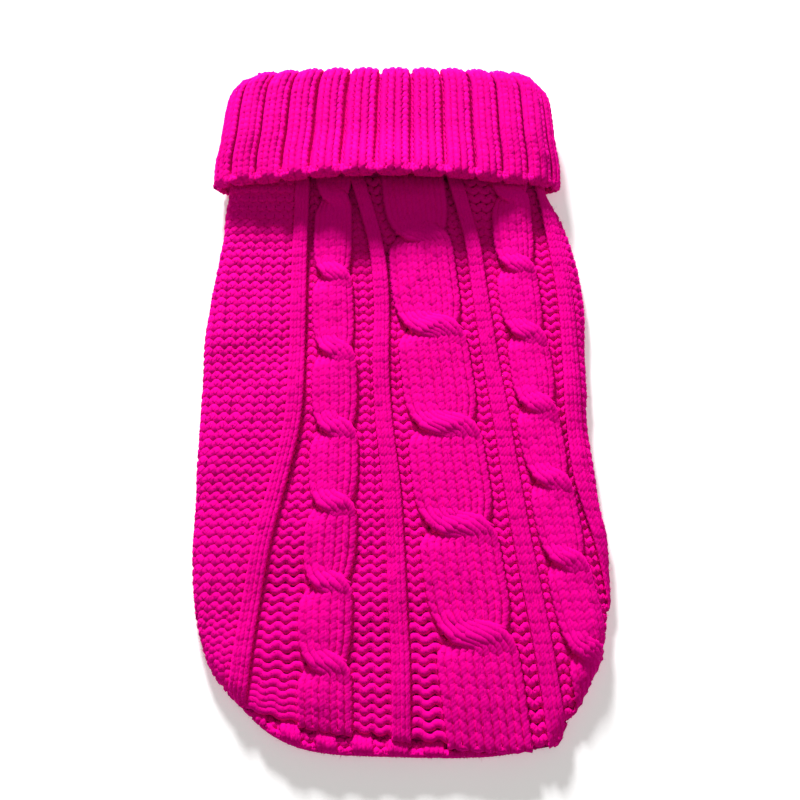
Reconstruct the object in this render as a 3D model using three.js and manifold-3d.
import * as THREE from 'three';
import Module from 'manifold-3d';

// A small dog's cable-knit sweater, laid flat with its back up and its collar turned down.
// Millimetres, +Z up. The neck points along +Y, and the middle of the laid garment is the origin.

// Driving sizes
const CLOTH = 3.2;          // wall of the body's knit
const SEAM = 0.3;           // space between two pieces where they are sewn
const NECK_Y = 96.6;        // where the body's first row is sewn to the collar
const HEM_ROW = 63;         // last row of the body
const FOLD_ROUND = 9;       // width over which the cloth rounds off at its side folds

// The body's rows. Each row runs from its left fold to its right fold and sags between them, and
// lean is how much more its left half sags. top and under are the heights of the cloth's faces.
const BODY_ROWS = [
  { row: 0, yLeft: 96.6, xLeft: -75.6, yRight: 96.6, xRight: 64.2, sag: 0, lean: 0.6, top: 14.2, under: 4.6 },
  { row: 2.3, yLeft: 88, xLeft: -75.6, yRight: 88, xRight: 64.6, sag: 0, lean: 0.6, top: 12, under: 4.3 },
  { row: 4.2, yLeft: 80.8, xLeft: -76.9, yRight: 80.8, xRight: 70.2, sag: 0, lean: 0.6, top: 10.0, under: 1.4 },
  { row: 7.3, yLeft: 69.3, xLeft: -77.8, yRight: 69.3, xRight: 74.6, sag: 0, lean: 0.6, top: 8.5, under: 0 },
  { row: 15, yLeft: 40.4, xLeft: -81.9, yRight: 40.4, xRight: 80.0, sag: 0, lean: 0.6, top: 8, under: 0 },
  { row: 22.3, yLeft: 13, xLeft: -83.6, yRight: 13, xRight: 79.4, sag: 0, lean: 0.6, top: 8, under: 0 },
  { row: 29.5, yLeft: -14, xLeft: -83.8, yRight: -14, xRight: 79.2, sag: 0, lean: 0.6, top: 8, under: 0 },
  { row: 36.5, yLeft: -40.3, xLeft: -83.7, yRight: -40.3, xRight: 81.2, sag: 0, lean: 0.6, top: 8, under: 0 },
  { row: 43.2, yLeft: -65.4, xLeft: -84.2, yRight: -65.4, xRight: 83.8, sag: 0, lean: 0.6, top: 8, under: 0 },
  { row: 49.7, yLeft: -89.8, xLeft: -82.2, yRight: -89.8, xRight: 83.9, sag: 0.5, lean: 0.6, top: 8, under: 0 },
  { row: 54.5, yLeft: -105.2, xLeft: -79.2, yRight: -108.4, xRight: 81.8, sag: 2.6, lean: 0.6, top: 8, under: 0 },
  { row: 59, yLeft: -118.4, xLeft: -73, yRight: -126.4, xRight: 74.3, sag: 5, lean: 0.6, top: 8, under: 0 },
  { row: 63, yLeft: -129.4, xLeft: -63.2, yRight: -144.3, xRight: 61.5, sag: 6, lean: -0.1, top: 7.8, under: 0 },
  { row: 66, yLeft: -132.6, xLeft: -60.6, yRight: -146.2, xRight: 60.2, sag: 12, lean: 0.9, top: 7, under: 0 },
];

// Centre lines of the ribs and cables, as x at a row.
const GUIDES = [
  { row: 0, ribA: -42.6, cableLeft: -29, ribB: -19, cableMiddle: 5.6, ribC: 24, cableRight: 48.4, ribD: 62.5 },
  { row: 7.9, ribA: -43.4, cableLeft: -29, ribB: -10.6, cableMiddle: 9, ribC: 31.8, cableRight: 50.1, ribD: 68 },
  { row: 15.5, ribA: -43.5, cableLeft: -28.6, ribB: -7.6, cableMiddle: 11.9, ribC: 35.3, cableRight: 52, ribD: 71.6 },
  { row: 22.8, ribA: -43.5, cableLeft: -27.4, ribB: -7.8, cableMiddle: 15.3, ribC: 38.8, cableRight: 55.6, ribD: 72.6 },
  { row: 29.9, ribA: -44.6, cableLeft: -26.9, ribB: -6.4, cableMiddle: 18.2, ribC: 42.7, cableRight: 58, ribD: 73 },
  { row: 36.8, ribA: -49.7, cableLeft: -27.1, ribB: -3.4, cableMiddle: 21.2, ribC: 46.2, cableRight: 61.8, ribD: 75.6 },
  { row: 43.5, ribA: -55.4, cableLeft: -27.8, ribB: -1.7, cableMiddle: 24.2, ribC: 49.8, cableRight: 66.2, ribD: 81 },
  { row: 49.9, ribA: -58.9, cableLeft: -29.2, ribB: -0.7, cableMiddle: 27.5, ribC: 53.8, cableRight: 70.7, ribD: 87 },
  { row: 55.7, ribA: -61.6, cableLeft: -29.2, ribB: 0.5, cableMiddle: 31, ribC: 57.4, cableRight: 74.8, ribD: 92 },
  { row: 63, ribA: -63.4, cableLeft: -28.6, ribB: 0.8, cableMiddle: 34.9, ribC: 61.1, cableRight: 80.5, ribD: 99 },
];

// What stands up from the purl ground: how wide it is, how high, and the rows where a cable's strands cross.
const RIBS = ['ribA', 'ribB', 'ribC', 'ribD'];
const RIB = { halfWidth: 3.5, height: 2.3 };
const CABLES = [
  { guide: 'cableLeft', halfWidth: 8.9, crossings: [3.4, 13, 22.5, 31.7, 40.5, 49.1, 57.4] },
  { guide: 'cableMiddle', halfWidth: 13.2, crossings: [8, 19.6, 31.7, 43, 54.5] },
  { guide: 'cableRight', halfWidth: 8.4, crossings: [3.2, 11.8, 20.2, 28.8, 37.4, 46.5, 55.6] },
];
const CABLE = { height: 2.6, frontLift: 1.6, backDrop: 1.8, frontRows: 2.8, backRows: 1.3, pinch: 0.1 };
const WIDEN = { from: 0.86, to: 1.16 };   // cables and ribs spread from the neck to the waist

// Collar, as a ring round a flat slot. A radius here is the distance from the middle of that slot.
const COLLAR = {
  middleZ: 9.4, slot: 0.8, layer: 4, between: 0.6,
  foldY: 150.8, edgeY: 92.6, droop: 3.6,
  ribs: 13, ribHeight: 2.2, ribPhase: 0.22,
  spreadTop: 0.04, spreadEdge: 0.2,
};
const COLLAR_WIDTHS = [
  { y: 90, middle: -5.7, half: 75.6 },
  { y: 115, middle: -5.6, half: 74.3 },
  { y: 130, middle: -5.4, half: 73.6 },
  { y: 142, middle: -5, half: 71.6 },
  { y: 151, middle: -4.6, half: 67.4 },
];

// Waist band
const HEM = { ribs: 9, ribHeight: 1.5, seam: 0.6 };

// Leg openings in the belly, each with its band
const LEG = { x: 41, y: 38, halfWidth: 21, halfLength: 28, band: 7 };

const PINK = new THREE.Color(1, 0.02, 0.42);
const knit = (tint) => new THREE.MeshStandardMaterial({
  color: PINK.clone().multiplyScalar(tint), roughness: 0.95, metalness: 0,
});

const mix = (a, b, f) => a + (b - a) * f;
const clamp = (v, low, high) => Math.min(high, Math.max(low, v));
const ease = (from, to, v) => {
  const f = clamp((v - from) / (to - from), 0, 1);
  return f * f * (3 - 2 * f);
};

// A smooth reading between the lines of a table, with every column eased by its neighbours.
function readTable(table, key, at) {
  const last = table.length - 1;
  const rising = table[last][key] > table[0][key];
  let i = 0;
  while (i < last - 1 && (rising ? at > table[i + 1][key] : at < table[i + 1][key])) i += 1;
  const before = table[Math.max(0, i - 1)];
  const a = table[i];
  const b = table[i + 1];
  const after = table[Math.min(last, i + 2)];
  const step = b[key] - a[key];
  const f = clamp((at - a[key]) / step, 0, 1);
  const result = {};
  for (const name of Object.keys(a)) {
    const slopeA = (b[name] - before[name]) / (b[key] - before[key]) * step;
    const slopeB = (after[name] - a[name]) / (after[key] - a[key]) * step;
    result[name] = a[name] * (1 + 2 * f) * (1 - f) ** 2 + slopeA * f * (1 - f) ** 2
      + b[name] * f * f * (3 - 2 * f) - slopeB * f * f * (1 - f);
  }
  return result;
}

// Height of a rounded back, 1 over the middle and 0 at its two edges.
const bump = (s) => Math.sqrt(Math.max(0, 1 - s * s));

// How far the ribs and cables stand above the purl ground at a place on the back.
function relief(x, row) {
  const guide = readTable(GUIDES, 'row', row);
  const widen = mix(WIDEN.from, WIDEN.to, ease(0, 52, row));
  let height = 0;
  for (const name of RIBS) {
    const s = (x - guide[name]) / (RIB.halfWidth * widen);
    height = Math.max(height, RIB.height * bump(s) ** 0.8);
  }
  for (const cable of CABLES) {
    for (const side of [-1, 1]) {
      let place = side;
      let lift = 0;
      let half = cable.halfWidth * widen;
      for (const crossing of cable.crossings) {
        const inFront = place < 0;
        const near = 1 - Math.tanh((row - crossing) / CABLE.frontRows * 2) ** 2;
        lift += near * (inFront ? CABLE.frontLift : -CABLE.backDrop);
        half *= 1 - CABLE.pinch * near;
        place *= -Math.tanh((row - crossing) / (inFront ? CABLE.frontRows : CABLE.backRows) * 2);
      }
      const s = (x - guide[cable.guide] - place * half * 0.48) / (half * 0.54);
      if (Math.abs(s) < 1) height = Math.max(height, (CABLE.height + lift) * bump(s) ** 0.7);
    }
  }
  return height * ease(0.6, 5, row);
}

// A point on the body: across runs from 0 at the left fold to 1 at the right one.
// side is 1 on the upper layer and -1 on the lower one, and inward is the depth into the wall.
function bodyPoint(across, row, side, inward, raise = 0) {
  const line = readTable(BODY_ROWS, 'row', row);
  const under = Math.max(0, line.under);
  const middle = (line.top + under) / 2;
  const width = line.xRight - line.xLeft;
  const x = mix(line.xLeft + inward, line.xRight - inward, across);
  const place = (x - line.xLeft) / width;
  const sag = line.sag * (1 - (2 * place - 1) ** 4) * (1 + line.lean * (0.5 - place));
  const y = mix(line.yLeft, line.yRight, place) - sag;
  const round = FOLD_ROUND - inward;
  const fromFold = Math.min(across, 1 - across) * (width - 2 * inward);
  const rise = bump(1 - clamp(fromFold / round, 0, 1));
  const depth = side > 0 ? line.top - inward - middle : middle - under - inward;
  const z = middle + side * (SEAM / 2 + (depth - SEAM / 2 + raise) * rise);
  return new THREE.Vector3(x, y, z);
}

// Places across the cloth, closer together where it rounds off at the folds.
function acrossStops(count, width, turns) {
  const stops = [];
  const edge = FOLD_ROUND / width;
  for (let i = 0; i < turns; i += 1) stops.push(edge * (1 - Math.cos(i / turns * Math.PI / 2)));
  for (let i = 0; i <= count; i += 1) stops.push(mix(edge, 1 - edge, i / count));
  for (let i = turns - 1; i >= 0; i -= 1) stops.push(1 - edge * (1 - Math.cos(i / turns * Math.PI / 2)));
  return stops;
}

const counted = (count) => Array.from({ length: count }, (_, i) => i);
const evenly = (count, from, to) => counted(count + 1).map((i) => mix(from, to, i / count));

// Joins two edges of a sheet that may have different numbers of points, by the shorter step each time.
function zip(points, faces, a, b) {
  const far = (p, q) => (p === undefined || q === undefined ? Infinity : points[p].distanceTo(points[q]));
  let i = 0;
  let j = 0;
  while (i < a.length - 1 || j < b.length - 1) {
    if (far(a[i + 1], b[j]) <= far(a[i], b[j + 1])) {
      faces.push([a[i], b[j], a[i + 1]]);
      i += 1;
    } else {
      faces.push([a[i], b[j], b[j + 1]]);
      j += 1;
    }
  }
}

// Twice the volume's worth of signed tetrahedra, to tell which way the faces point.
function signedVolume(points, faces) {
  let sum = 0;
  for (const [a, b, c] of faces) sum += points[a].dot(points[b].clone().cross(points[c]));
  return sum;
}

function solidFrom(points, faces) {
  const outward = signedVolume(points, faces) > 0;
  const geometry = new THREE.BufferGeometry();
  geometry.setAttribute('position', new THREE.Float32BufferAttribute(points.flatMap((p) => p.toArray()), 3));
  geometry.setIndex(faces.flatMap(([a, b, c]) => (outward ? [a, b, c] : [a, c, b])));
  geometry.computeVertexNormals();
  return geometry;
}

// A wall of cloth between an outer and an inner grid of points, closed along its four edges.
function clothWall(outer, inner) {
  const points = [...outer.flat(), ...inner.flat()];
  const faces = [];
  const grids = [{ grid: outer, first: 0, turn: false }, { grid: inner, first: outer.flat().length, turn: true }];
  const edges = grids.map(({ grid, first, turn }) => {
    const rows = grid.length;
    const columns = grid[0].length;
    const index = (r, c) => first + r * columns + c;
    for (let r = 0; r < rows - 1; r += 1) {
      for (let c = 0; c < columns - 1; c += 1) {
        const [p, q, s, t] = [index(r, c), index(r, c + 1), index(r + 1, c + 1), index(r + 1, c)];
        faces.push(turn ? [p, s, q] : [p, q, s], turn ? [p, t, s] : [p, s, t]);
      }
    }
    return {
      start: counted(columns).map((c) => index(0, c)),
      right: counted(rows).map((r) => index(r, columns - 1)),
      end: counted(columns).map((c) => index(rows - 1, columns - 1 - c)),
      left: counted(rows).map((r) => index(rows - 1 - r, 0)),
    };
  });
  for (const name of ['start', 'right', 'end', 'left']) zip(points, faces, edges[0][name], edges[1][name]);
  return solidFrom(points, faces);
}

// A closed band: every loop is a full turn of points, and the last loop joins the first.
function closedBand(loops) {
  const turn = loops[0].length;
  const points = loops.flat();
  const faces = [];
  for (let i = 0; i < loops.length; i += 1) {
    for (let j = 0; j < turn; j += 1) {
      const [p, q] = [i * turn + j, i * turn + (j + 1) % turn];
      const [s, t] = [((i + 1) % loops.length) * turn + (j + 1) % turn, ((i + 1) % loops.length) * turn + j];
      faces.push([p, q, s], [p, s, t]);
    }
  }
  return solidFrom(points, faces);
}

// Both layers share their rows, so that they lie a seam's width apart all along the side folds.
const OUTER_ROWS = evenly(50, 0, HEM_ROW);
const INNER_ROWS = OUTER_ROWS.filter((_, i) => i < 8 || (OUTER_ROWS.length - 1 - i) % 4 === 0);

// The back: raised cables and ribs on its outer face, plain inside.
function backPanel() {
  const outerStops = acrossStops(60, 166, 4);
  const innerStops = acrossStops(6, 166, 2);
  const outer = OUTER_ROWS.map((row) => outerStops.map((across) => {
    const ground = bodyPoint(across, row, 1, 0);
    return bodyPoint(across, row, 1, 0, relief(ground.x, row));
  }));
  const inner = INNER_ROWS.map((row) => innerStops.map((across) => bodyPoint(across, row, 1, CLOTH)));
  return clothWall(outer, inner);
}

function ovalShape(halfWidth, halfLength) {
  const shape = new THREE.Shape();
  shape.absellipse(0, 0, halfWidth, halfLength, 0, 2 * Math.PI, false, 0);
  return shape;
}

// A flat oval prism standing on z, with its own opening where one is given.
function ovalPrism(outer, opening, z, height) {
  const shape = ovalShape(outer.halfWidth, outer.halfLength);
  if (opening) shape.holes.push(ovalShape(opening.halfWidth, opening.halfLength));
  const prism = new THREE.ExtrudeGeometry(shape, { depth: height, bevelEnabled: false, curveSegments: 22 });
  return prism.translate(0, 0, z);
}

const wasm = await Module();
wasm.setup();

// Merges a geometry's equal points, so that it counts as one closed solid.
function toManifold(geometry) {
  const position = geometry.getAttribute('position');
  const source = geometry.index ? Array.from(geometry.index.array) : counted(position.count);
  const seen = new Map();
  const vertices = [];
  const triangles = source.map((i) => {
    const place = [position.getX(i), position.getY(i), position.getZ(i)];
    const key = place.map((v) => v.toFixed(4)).join(' ');
    if (!seen.has(key)) {
      seen.set(key, vertices.length / 3);
      vertices.push(...place);
    }
    return seen.get(key);
  });
  return new wasm.Manifold(new wasm.Mesh({
    numProp: 3,
    vertProperties: new Float32Array(vertices),
    triVerts: new Uint32Array(triangles),
  }));
}

function fromManifold(solid) {
  const mesh = solid.getMesh();
  const geometry = new THREE.BufferGeometry();
  geometry.setAttribute('position', new THREE.BufferAttribute(new Float32Array(mesh.vertProperties), 3));
  geometry.setIndex(new THREE.BufferAttribute(new Uint32Array(mesh.triVerts), 1));
  geometry.computeVertexNormals();
  return geometry;
}

// The belly: plain cloth, flat underneath, with the two leg openings cut through it.
function bellyPanel() {
  const outerStops = acrossStops(10, 166, 4);
  const innerStops = acrossStops(6, 166, 2);
  const outer = OUTER_ROWS.map((row) => outerStops.map((across) => bodyPoint(across, row, -1, 0)));
  const inner = INNER_ROWS.map((row) => innerStops.map((across) => bodyPoint(across, row, -1, CLOTH)));
  let belly = toManifold(clothWall(outer, inner));
  for (const side of [-1, 1]) {
    const cut = ovalPrism({ halfWidth: LEG.halfWidth, halfLength: LEG.halfLength }, null, -2, 10);
    belly = belly.subtract(toManifold(cut.translate(side * LEG.x, LEG.y, 0)));
  }
  return fromManifold(belly);
}

// A leg opening's band: it lies in the opening, a seam's width from the belly's edge.
function legBand() {
  const outer = { halfWidth: LEG.halfWidth - SEAM, halfLength: LEG.halfLength - SEAM };
  const opening = { halfWidth: outer.halfWidth - LEG.band, halfLength: outer.halfLength - LEG.band };
  return ovalPrism(outer, opening, 0, CLOTH);
}

// A point at a turn round the flat slot: 0 is the left fold, and the first half is the upper side.
// flap is 1 on the turned-down layer, whose lower edge droops towards the folds.
function collarPoint(turn, radius, y, raise, flap) {
  const width = readTable(COLLAR_WIDTHS, 'y', y);
  const outerRadius = COLLAR.slot + 2 * COLLAR.layer + COLLAR.between;
  const straight = 2 * (width.half - outerRadius);
  const quarter = Math.PI / 2 * outerRadius;
  const total = straight + 2 * quarter;
  const upper = turn < 0.5;
  const along = (upper ? turn * 2 : 2 - turn * 2) * total;
  const side = upper ? 1 : -1;
  let angle = Math.PI / 2;
  let centre = width.middle - straight / 2 + clamp(along - quarter, 0, straight);
  if (along < quarter) angle = along / outerRadius;
  if (along > quarter + straight) angle = (total - along) / outerRadius;
  const outward = along < total / 2 ? -1 : 1;
  const reach = radius + raise;
  const x = centre + outward * Math.cos(angle) * reach;
  const z = COLLAR.middleZ + side * Math.sin(angle) * reach;
  const aside = (x - width.middle) / width.half;
  const hang = flap * COLLAR.droop * aside * aside * clamp((COLLAR.foldY - y) / (COLLAR.foldY - COLLAR.edgeY), 0, 1);
  return new THREE.Vector3(x, y - hang, z);
}

// How high a 2 by 2 rib stands at a turn: a broad crest between narrow grooves.
function collarRib(turn, y) {
  const along = turn < 0.5 ? turn * 2 : 2 - turn * 2;
  const down = clamp((COLLAR.foldY - y) / (COLLAR.foldY - COLLAR.edgeY), 0, 1);
  const spread = mix(COLLAR.spreadTop, COLLAR.spreadEdge, down);
  const rib = COLLAR.ribs * (along + spread * Math.sin(2 * Math.PI * along) / (2 * Math.PI)) - COLLAR.ribPhase;
  return COLLAR.ribHeight * Math.abs(Math.sin(Math.PI * rib)) ** 0.6;
}

// The collar: a folded rib tube. Its section is a hairpin of cloth with a rolled lower edge.
function collar() {
  const { slot, layer, between, foldY, edgeY } = COLLAR;
  const inner = { near: slot, far: slot + layer };
  const flap = { near: inner.far + between, far: inner.far + between + layer };
  const foldRadius = (flap.far - inner.near) / 2;
  const foldMiddle = (flap.far + inner.near) / 2;
  const foldBase = foldY - foldRadius;
  const start = NECK_Y + SEAM;
  const profile = [
    ...[start, 112, 130].map((y) => ({ radius: inner.near, y, rib: 0, flap: 0 })),
    ...evenly(6, 0, Math.PI).map((a) => ({
      radius: foldMiddle - foldRadius * Math.cos(a),
      y: foldBase + foldRadius * Math.sin(a),
      rib: ease(0.2, 2.2, a),
      flap: a > 1.6 ? 1 : 0,
    })),
    ...[132, 118, 105].map((y) => ({ radius: flap.far, y, rib: 1, flap: 1 })),
    { radius: flap.far, y: edgeY + 5, rib: 1, flap: 1, roll: 0.5 },
    { radius: flap.far, y: edgeY + 2, rib: 0.9, flap: 1, roll: 1 },
    { radius: flap.far - 1.4, y: edgeY, rib: 0.4, flap: 1, roll: 0 },
    { radius: flap.near + 0.5, y: edgeY + 0.4, rib: 0, flap: 1 },
    { radius: flap.near, y: edgeY + 2, rib: 0, flap: 1 },
    { radius: flap.near, y: foldBase - 0.6, rib: 0, flap: 1 },
    { radius: inner.far, y: foldBase - 0.6, rib: 0, flap: 0 },
    { radius: inner.far, y: start, rib: 0, flap: 0 },
  ];
  const upperStops = evenly(58, 0, 0.5);
  const lowerStops = evenly(22, 0.5, 1).slice(1, -1);
  const turns = [...upperStops, ...lowerStops];
  const loops = profile.map(({ radius, y, rib, flap: hangs, roll = 0 }) => turns.map((turn) => {
    const up = ease(-0.02, 0.05, Math.min(turn, 0.5 - turn));
    return collarPoint(turn, radius + roll * up, y, rib * up * collarRib(turn, y), hangs);
  }));
  return closedBand(loops);
}

// The waist band: a flat ring below the last row, ribbed on its upper side.
function hemBand() {
  const around = [...acrossStops(60, 166, 4).map((across) => ({ across, side: 1 })),
    ...acrossStops(10, 166, 4).reverse().map((across) => ({ across, side: -1 }))];
  const profile = [
    { row: HEM_ROW, inward: 0, rib: 0.6 },
    { row: 64.4, inward: 0, rib: 1 },
    { row: 65.4, inward: 0, rib: 0.9 },
    { row: 66, inward: 1, rib: 0.2 },
    { row: 66, inward: CLOTH - 0.6, rib: 0 },
    { row: HEM_ROW, inward: CLOTH, rib: 0 },
  ];
  const loops = profile.map(({ row, inward, rib }) => around.map(({ across, side }) => {
    const crest = Math.abs(Math.sin(Math.PI * HEM.ribs * across)) ** 0.7;
    const point = bodyPoint(across, row, side, inward, side > 0 ? rib * HEM.ribHeight * crest : 0);
    if (row === HEM_ROW) point.y -= HEM.seam;
    return point;
  }));
  return closedBand(loops);
}

const sweater = new THREE.Group();
function sew(name, geometry, tint) {
  const piece = new THREE.Mesh(geometry, knit(tint));
  piece.name = name;
  sweater.add(piece);
  return piece;
}

sew('back_panel', backPanel(), 1);
sew('belly_panel', bellyPanel(), 0.9);
sew('collar', collar(), 1);
sew('hem_band', hemBand(), 0.95);
sew('leg_band_left', legBand(), 0.85).position.set(LEG.x, LEG.y, 0);
sew('leg_band_right', legBand(), 0.85).position.set(-LEG.x, LEG.y, 0);

export default sweater;
